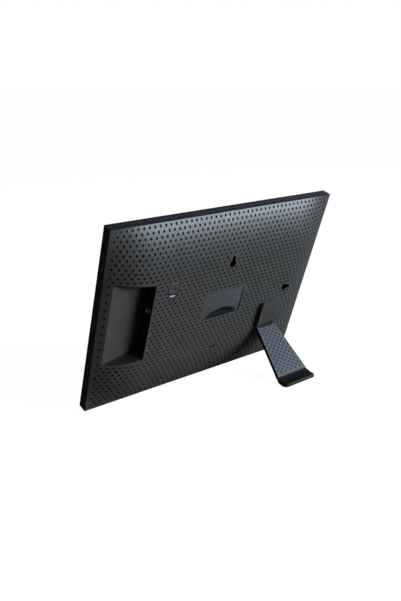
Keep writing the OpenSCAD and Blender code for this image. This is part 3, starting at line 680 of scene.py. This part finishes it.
LACQUER = dict(Coat_Weight=0.4)
POLISH = dict(Coat_Weight=0.6, Coat_Roughness=0.02)
GLOW = dict(Emission_Color=(0.8, 0.85, 1, 1), Emission_Strength=0.08)
ALONG_X = (0.05, 1, 1)
FINISHES = {
    # The outside
    "cover_plastic": finish("moulded cover plastic", COVER_COLOUR, 0.42, 2600, 0.16, specular=0.2),
    # Painted shade: a near black finish for the insides of the cover's dots and the walls of its cuts and
    # recesses.
    "dot_plastic": finish("painted shade in the cover's dots", (0.006, 0.0055, 0.005), 0.6, 2600, specular=0.12),
    "bezel_plastic": finish("satin navy rim", (0.013, 0.013, 0.0175), 0.42, 2200, 0.06, specular=0.1),
    "touch_glass": finish("black glass", (0.011, 0.012, 0.016), 0.06, 300, 0.01, rough_varied=0.02, **POLISH),
    "cap_plastic": finish("button plastic", COVER_COLOUR, 0.42, 2600, specular=0.2),
    "light_pipe": finish("lit diffuser", (0.3, 0.3, 0.36), 0.4, 900, 0.03, 0.04, **GLOW),
    # Painted sheen: the label's own colour is lighter and more purple than the cover's, and it shows in full
    # only at the label's upper right.
    "label_film": finish("label film with painted sheen", (0.043, 0.041, 0.053), 0.42, 1600, 0.04, 0.1, specular=0.3),
    "plate_plastic": finish("plate plastic", (0.026, 0.023, 0.021), 0.55, 1400, 0.14,
                            stretch=(1, 0.15, 0.15), specular=0.2),
    "leg_plastic": finish("dark leg plastic", (0.004, 0.004, 0.005), 0.45, 2000, 0.08, specular=0.1),
    "leg_face": finish("blue grey leg face", (0.035, 0.038, 0.0435), 0.55, 2600, 0.12, 0.12, specular=0.2),
    # Painted shade: a darker finish for the insides of the leg's dots.
    "leg_dot": finish("painted shade in the leg's dots", (0.012, 0.015, 0.02), 0.8, 2600, specular=0.05),
    "foot_rubber": finish("moulded rubber", (0.004, 0.004, 0.004), 0.5, 1500, 0.12, specular=0.07),
    "washer_nylon": finish("nylon washer", (0.03, 0.03, 0.032), 0.5, 900, 0.05),
    "connector_black": finish("black connector", (0.012, 0.012, 0.012), 0.45, 2500),
    "connector_metal": finish("plated connector", (0.5, 0.5, 0.5), 0.28, 1500, 0.06, 0.12, metal=1),
    # The inside
    "foam": finish("black foam", (0.012, 0.012, 0.012), 0.95, 1800, 0.6, rough_varied=0.04),
    "panel_glass": finish("screen glass", (0.01, 0.012, 0.016), 0.12, 400, 0.01, rough_varied=0.03),
    "film": finish("white film", (0.72, 0.74, 0.78), 0.4, 700, 0.02, 0.03),
    "clear_acrylic": finish("acrylic", (0.7, 0.8, 0.84), 0.12, 500, 0.02, 0.04, rough_varied=0.04),
    "led_white": finish("lamp resin", (0.8, 0.78, 0.55), 0.3, 900, 0.05, 0.05),
    "sheet_steel": finish("plated sheet steel", (0.55, 0.56, 0.58), 0.34, 900, 0.08, 0.1, 1, stretch=ALONG_X),
    "screw_steel": finish("zinc screw steel", (0.42, 0.43, 0.45), 0.3, 1800, 0.1, 0.15, metal=1),
    "pin_steel": finish("ground pin steel", (0.6, 0.61, 0.63), 0.2, 2500, 0.08, 0.06, 1, stretch=ALONG_X),
    "circuit_board": finish("solder mask", (0.012, 0.11, 0.05), 0.35, 500, 0.3, 0.35, **LACQUER),
    "module_blue": finish("blue solder mask", (0.015, 0.06, 0.2), 0.35, 600, 0.3, 0.3, **LACQUER),
    "antenna_gold": finish("flex antenna", (0.5, 0.34, 0.1), 0.35, 900, 0.1, 0.1, metal=1),
    "ribbon": finish("amber ribbon", (0.5, 0.24, 0.05), 0.35, 1200, 0.3, 0.2, stretch=(1, 0.04, 0.04)),
    "switch_nylon": finish("switch nylon", (0.75, 0.72, 0.62), 0.5, 900, 0.05, 0.05),
    "speaker_black": finish("speaker black", (0.015, 0.015, 0.016), 0.6, 700, 0.3),
}


def overlay(material, amount, colour):
    """Mixes the base colour with another. amount is a socket: 0 is the base, 1 the other colour."""
    nodes, links = material.node_tree.nodes, material.node_tree.links
    base = nodes["Principled BSDF"].inputs["Base Color"]
    mix = nodes.new("ShaderNodeMix")
    mix.data_type = "RGBA"
    links.new(amount, mix.inputs[MIX_FACTOR])
    links.new(base.links[0].from_socket, mix.inputs[MIX_A])
    mix.inputs[MIX_B].default_value = (*colour, 1)
    links.new(mix.outputs[MIX_COLOUR], base)


def overlay_by(material, attribute, colour):
    """The same, by a mesh attribute."""
    read = material.node_tree.nodes.new("ShaderNodeAttribute")
    read.attribute_name = attribute
    overlay(material, read.outputs["Fac"], colour)


def print_border(material, half_x, half_z, colour):
    """Prints the glass in another colour outside a rectangle of the given half sizes about the
    middle of the frame: where the larger of |x| / half_x and |z| / half_z passes 1."""
    nodes, links = material.node_tree.nodes, material.node_tree.links
    place = nodes.new("ShaderNodeTexCoord")
    scaled = nodes.new("ShaderNodeMapping")
    tall = half_z * math.cos(LEAN)
    middle = lean_back((0, 0, MID_Z))[2] * 1000
    scaled.inputs["Scale"].default_value = (1000 / half_x, 1, 1000 / tall)
    scaled.inputs["Location"].default_value = (0, 0, -middle / tall)
    links.new(place.outputs["Object"], scaled.inputs["Vector"])
    apart = nodes.new("ShaderNodeSeparateXYZ")
    links.new(scaled.outputs["Vector"], apart.inputs["Vector"])
    larger = nodes.new("ShaderNodeMath")
    larger.operation = "MAXIMUM"
    for n, axis in enumerate("XZ"):
        size = nodes.new("ShaderNodeMath")
        size.operation = "ABSOLUTE"
        links.new(apart.outputs[axis], size.inputs[0])
        links.new(size.outputs["Value"], larger.inputs[n])
    edge = nodes.new("ShaderNodeMapRange")
    edge.inputs["From Min"].default_value = 0.998
    edge.inputs["From Max"].default_value = 1.002
    links.new(larger.outputs["Value"], edge.inputs["Value"])
    overlay(material, edge.outputs["Result"], colour)


print_border(FINISHES["touch_glass"], *VIEW_HALF, (0.002, 0.002, 0.002))
# Painted sheen on the label: its colour gives way to the cover's towards the lower left.
overlay_by(FINISHES["label_film"], "painted_sheen_fade", COVER_COLOUR)
# Painted shade in the label's thumb scoop.
overlay_by(FINISHES["label_film"], "hollow", (0.004, 0.004, 0.0045))


def dress(piece, body, slot, look=None, deep=None, replaces=()):
    """Gives a piece its finish and its body, and hides the CAD nodes that it replaces. Its finish is
    the slot's own, or look where that is given, and deep is the finish of the insides of its dots,
    a darker one that paints the shade in them."""
    if deep:
        piece.data.materials[0] = FINISHES[look or slot]
        piece.data.materials[1] = FINISHES[deep]
    else:
        piece.data.materials.clear()
        piece.data.materials.append(FINISHES[look or slot])
    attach(piece, body)
    if replaces:
        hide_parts(*replaces)


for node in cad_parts.values():
    for slot in node.material_slots:
        slot.material = FINISHES[slot.material.name.split(".")[0]]


# ---- The label, the sockets and the light -----------------------------------------------
def make_label():
    """A thin film along the floor of its recess. Two attributes paint light and shade on it: one says
    how far its colour, a painted sheen, gives way to the cover's towards the lower left, and hollow
    says how dark the painted shade of the scoop makes it."""
    x, z = label_grid(LABEL_GAP)
    low, high = (label_floor(x, z) + y for y in FILM_Y)
    label = between("label_panel", x, z, low, high)
    spots = np.empty(3 * len(label.data.vertices))
    label.data.vertices.foreach_get("co", spots)
    x, _, z = upright(spots.reshape(-1, 3)).T
    across, up = label_share(x, z)
    tones = {
        # Painted sheen, full at the upper right and fading out towards the lower left.
        "painted_sheen_fade": np.clip(1.3 - 0.62 * (across + up), 0, 1),
        # Painted shade over the scoop.
        "hollow": np.clip(4 * scoop_of(x, z), 0, 1),
    }
    for name, values in tones.items():
        attribute = label.data.attributes.new(name, "FLOAT", "POINT")
        attribute.data.foreach_set("value", values.astype(np.float32))
    return smooth(label, 40)


def make_jack():
    """The socket's bright ring, a closed profile, and the pin in it."""
    ring = [(-5, 2.05), (0.05, 2.05), (0.3, 2.3), (0.3, 2.7), (0.05, 2.85), (-5, 2.85), (-5, 2.05)]
    pin = [(-7, 0), (-7, 0.65), (-1.2, 0.65), (-0.8, 0.4), (-0.7, 0)]
    centre = (PORT_X[0], JACK_Y, JACK_Z)
    return turned("jack_ring", ring, centre), turned("jack_pin", pin, centre, steps=20)


def usb_loft(name, rings):
    """A loft along x of rounded rectangles: (distance out from the side wall, half depth, half
    height, corner radius)."""
    outlines = [
        np.insert(rounded(USB_Y, USB_Z, half_y, half_z, r, 4), 0, PORT_X[0] + out, axis=1)
        for out, half_y, half_z, r in rings
    ]
    return loft(name, np.stack(outlines))


def make_usb():
    """The socket's shell, a cup with a turned lip, and the tongue in it."""
    shell = [
        (-4, 2.15, 5.95, 0.9), (-0.1, 2.15, 5.95, 0.9), (0.08, 2, 5.8, 0.9),
        (-0.05, 1.8, 5.6, 0.7), (-3.9, 1.8, 5.6, 0.7),
    ]
    tongue = [(-3.95, 0.5, 4.6, 0.3), (-0.9, 0.5, 4.6, 0.3), (-0.7, 0.3, 4.4, 0.2)]
    return usb_loft("usb_shell", shell), usb_loft("usb_tongue", tongue)


def make_light(gap=0.05):
    outline = rounded(*LED, LED_HALF[0] - gap, LED_HALF[1] - gap, 0.3, 3)
    return smooth(prism("status_light", outline, INNER_Y, FLAT_Y + 0.1), 30)


# ---- The button -------------------------------------------------------------------------
def make_button():
    """A rounded square cap: (how far in from its side, how high above the flat back) at each ring,
    with a soft edge and a slightly hollow top. A power mark, an open ring and a bar, is cut in."""
    profile = [
        (0, -3), (0, -0.35), (0.08, -0.15), (0.3, 0.02), (0.7, 0.08),
        (1.6, 0.04), (2.9, -0.04), (4.6, -0.1), (5.3, -0.1),
    ]
    rings = []
    for inset, rise in profile:
        half = BUTTON_HALF - inset
        outline = rounded(*BUTTON, half, half, max(0.3, BUTTON_R - inset), 8)
        rings.append(np.insert(outline, 1, FLAT_Y + rise, axis=1))
    cap = loft("button_cap", np.stack(rings))
    x, z = BUTTON[0], BUTTON[1] + 0.2
    mark_r, line_half, opening, mark_depth = 1.9, 0.25, math.radians(35), 0.4
    bar_up, bar_half = 1.5, 1.15
    ring = open_ring(x, z, mark_r, line_half, opening)
    bar = rounded(x, z + bar_up, line_half, bar_half, 0.2, 3)
    for n, outline in enumerate([ring, bar]):
        combine(cap, prism(f"mark_{n}", outline, FLAT_Y - mark_depth, FLAT_Y + 1), "DIFFERENCE")
    return smooth(cap)


# ---- The leg ----------------------------------------------------------------------------
def leg_half(s):
    """Half width at the distance s down from the hinge: the leg widens evenly to its foot."""
    return LEG_HALF[0] + (LEG_HALF[1] - LEG_HALF[0]) * s / LEG_LEN


def leg_section(half, low, high, s, r):
    """Rounded rectangle across the leg, half wide each way, from y = low to y = high."""
    outline = rounded(0, (low + high) / 2, half, (high - low) / 2, r, 4)
    return np.insert(outline, 2, -s, axis=1)


def make_leg_core():
    """The plain back of the leg, its knuckle round the hinge pin, and the web between them."""
    stations = np.array([LEG_START, LEG_START + 0.4, *np.linspace(6, 54, 7), LEG_LEN])
    sections = [leg_section(leg_half(s), -LEG_TOP, LEG_TOP - FACE_T, s, 0.7) for s in stations]
    core = loft("leg_core", np.stack(sections), leg_place, 40)
    half, r, chamfer = KNUCKLE_HALF, KNUCKLE_R, 0.3
    left = [(-half, 0), (-half, r - chamfer), (chamfer - half, r)]
    profile = left + [(-x, radius) for x, radius in left[::-1]]
    combine(core, turned("knuckle", profile, (0, 0, 0), leg_place), "UNION")
    web = [leg_section(half, -r, r, s, 0.3) for s in (0, LEG_START + 1)]
    combine(core, loft("web", np.stack(web), leg_place), "UNION")
    return smooth(core, 40)


def face_clamp(p):
    """Corners near the tapered outline, or past it, go to it. The second axis is the distance down
    from the hinge, negative."""
    s = -p[..., 1]
    s = np.where(s < FACE_FROM + 1, FACE_FROM, np.where(s > FACE_TO - 1, FACE_TO, s))
    half = leg_half(s) - FACE_INSET
    x = np.where(np.abs(p[..., 0]) > half - 0.9, np.sign(p[..., 0]) * half, p[..., 0])
    return np.stack([x, -s], -1)


def face_top(p):
    """The face is flat."""
    return np.full(p.shape[:-1], LEG_TOP)


def make_leg_face():
    """The dotted face, given its thickness by a wall round its outline and a flat back."""
    pitch = LEG_DOTS["pitch"]
    lowest = FIRST_ROW + np.round((LEG_LEN - FIRST_ROW) / pitch[1]) * pitch[1]
    centres = brick_centres(pitch, -lowest, rows=27, half_columns=4, offset=0)
    s = -centres[:, 1]
    dimple = np.abs(centres[:, 0]) < leg_half(s) - FACE_INSET - 1
    dimple &= (s > FACE_FROM + 1.1) & (s < LAST_ROW)
    kind = np.where(dimple, DIMPLE, PLAIN)
    face = dotted_piece("leg_face", centres, kind, face_clamp, face_top, None, **LEG_DOTS, place=leg_place)
    bm = bmesh.new()
    bm.from_mesh(face.data)
    outline = [e for e in bm.edges if e.is_boundary]
    made = bmesh.ops.extrude_edge_only(bm, edges=outline)["geom"]
    low = [v for v in made if isinstance(v, bmesh.types.BMVert)]
    sunk = 0.1  # the back lies this far inside the leg's core
    down = Vector(leg_place((0, -FACE_T - sunk, 0)) - leg_place((0, 0, 0)))
    bmesh.ops.translate(bm, verts=low, vec=down)
    bmesh.ops.holes_fill(bm, edges=[e for e in bm.edges if e.is_boundary], sides=0)
    bmesh.ops.recalc_face_normals(bm, faces=bm.faces)
    bm.to_mesh(face.data)
    bm.free()
    return smooth(face, 28)


def make_foot():
    """The leg's own section carried round an arc of radius FOOT_R about a centre above the leg. It
    swells by FOOT_SWELL sin^2 over the first SWELL_OVER of the arc. Towards the tip its corners are
    rounded to FOOT_CORNER, and over the last FOOT_TIP its thickness falls as a half circle does."""
    mid_r = FOOT_R - LEG_TOP
    arc = FOOT_TURN * FOOT_R
    in_corner = FOOT_CORNER * (1 - np.sin(np.radians(np.linspace(8, 90, 11))))
    rings = []
    for gap in np.concatenate([np.linspace(arc, FOOT_CORNER, 22), in_corner]):
        a = (arc - gap) / FOOT_R
        inset = FOOT_CORNER - math.sqrt(max(0, FOOT_CORNER**2 - (FOOT_CORNER - min(gap, FOOT_CORNER)) ** 2))
        swell = FOOT_SWELL * math.sin(min(1, (arc - gap) / SWELL_OVER) * math.pi / 2) ** 2
        thin = math.sqrt(max(0.02, 1 - (1 - min(1, gap / FOOT_TIP)) ** 2))
        half_t = LEG_TOP * thin * 0.999
        outline = rounded(0, 0, LEG_HALF[1] + swell - inset, half_t, min(1.4, half_t * 0.9), 5)
        r = mid_r - outline[:, 1]
        rings.append(np.stack([outline[:, 0], mid_r - r * math.cos(a), -LEG_LEN - r * math.sin(a)], -1))
    return loft("foot_curl", np.stack(rings), leg_place, 60)


# ---- All the pieces ---------------------------------------------------------------------
dress(make_cover(), "frame", "cover_plastic", deep="dot_plastic", replaces=["back_cover"])
dress(softened("rim_front", "front_bezel", 0.5), "frame", "bezel_plastic", replaces=["front_bezel"])
dress(softened("rim_back", "middle_frame", 0.5), "frame", "bezel_plastic", replaces=["middle_frame"])
dress(softened("screen_glass", "touch_glass", 0.25), "frame", "touch_glass", replaces=["touch_glass"])
dress(softened("stand_block", "stand_plate", 0.6), "frame", "plate_plastic", replaces=["stand_plate"])
dress(make_label(), "frame", "label_film", replaces=["rating_label"])
for metal_part in make_jack():
    dress(metal_part, "frame", "connector_metal")
usb_shell, usb_tongue = make_usb()
dress(usb_shell, "frame", "connector_metal", look="connector_black")
dress(usb_tongue, "frame", "connector_black")
dress(make_light(), "frame", "light_pipe", replaces=["light_pipe"])
dress(make_button(), "button", "cap_plastic", replaces=["power_button"])
dress(make_leg_core(), "leg", "leg_plastic", replaces=["stand_leg"])
dress(make_leg_face(), "leg", "leg_plastic", look="leg_face", deep="leg_dot")
dress(make_foot(), "leg", "foot_rubber", replaces=["foot_pad"])


# ---- Floor, lights and camera -----------------------------------------------------------
scene = bpy.context.scene
scene.view_settings.view_transform = "Standard"


def seen_and_felt(tree, socket, seen, felt):
    """The backdrop and the floor glow white, and light the object by less than they show."""
    path = tree.nodes.new("ShaderNodeLightPath")
    amount = tree.nodes.new("ShaderNodeMapRange")
    amount.inputs["To Min"].default_value = felt
    amount.inputs["To Max"].default_value = seen
    tree.links.new(path.outputs["Is Camera Ray"], amount.inputs["Value"])
    tree.links.new(amount.outputs["Result"], socket)


bpy.ops.mesh.primitive_plane_add(size=60, location=(0, 0, 0))
floor = bpy.context.object
floor.name = "floor"
pale = finish("pale floor", (0.1, 0.094, 0.086), 0.9, 20, 0, 0.01, specular=0, Emission_Color=(1, 1, 1, 1))
floor.data.materials.append(pale)
seen_and_felt(pale.node_tree, pale.node_tree.nodes["Principled BSDF"].inputs["Emission Strength"], 0.97, 0.02)

world = bpy.data.worlds.new("studio")
scene.world = world
world.use_nodes = True
glow = world.node_tree.nodes["Background"]
glow.inputs["Color"].default_value = (1, 1, 1, 1)
seen_and_felt(world.node_tree, glow.inputs["Strength"], 1.0, 0.2)


def soft_light(name, place, size, power, colour):
    """A rectangular light that faces the middle of the object."""
    data = bpy.data.lights.new(name, "AREA")
    data.shape = "RECTANGLE"
    data.size, data.size_y = size
    data.energy = power
    data.color = colour
    light = bpy.data.objects.new(name, data)
    scene.collection.objects.link(light)
    light.location = place
    light.rotation_mode = "QUATERNION"
    light.rotation_quaternion = (Vector((0, 0, 0.09)) - Vector(place)).to_track_quat("-Z", "Y")


soft_light("key", (-0.72, 0.92, 0.42), (1.0, 0.3), 46, (0.72, 0.86, 1))

CAMERA_PLACE = (0.4111, 0.4729, 0.2872)
CAMERA_RIGHT = (-0.7703, 0.6376, -0.0135)
CAMERA_UP = (-0.2017, -0.2234, 0.9536)
CAMERA_BACK = (0.6050, 0.7373, 0.3007)
camera_data = bpy.data.cameras.new("camera")
camera_data.lens = 41
camera_data.sensor_width = 36
camera_data.clip_start = 0.01
camera = bpy.data.objects.new("camera", camera_data)
scene.collection.objects.link(camera)
axes = Matrix((CAMERA_RIGHT, CAMERA_UP, CAMERA_BACK)).transposed()
camera.matrix_world = Matrix.Translation(CAMERA_PLACE) @ axes.to_4x4()
scene.camera = camera
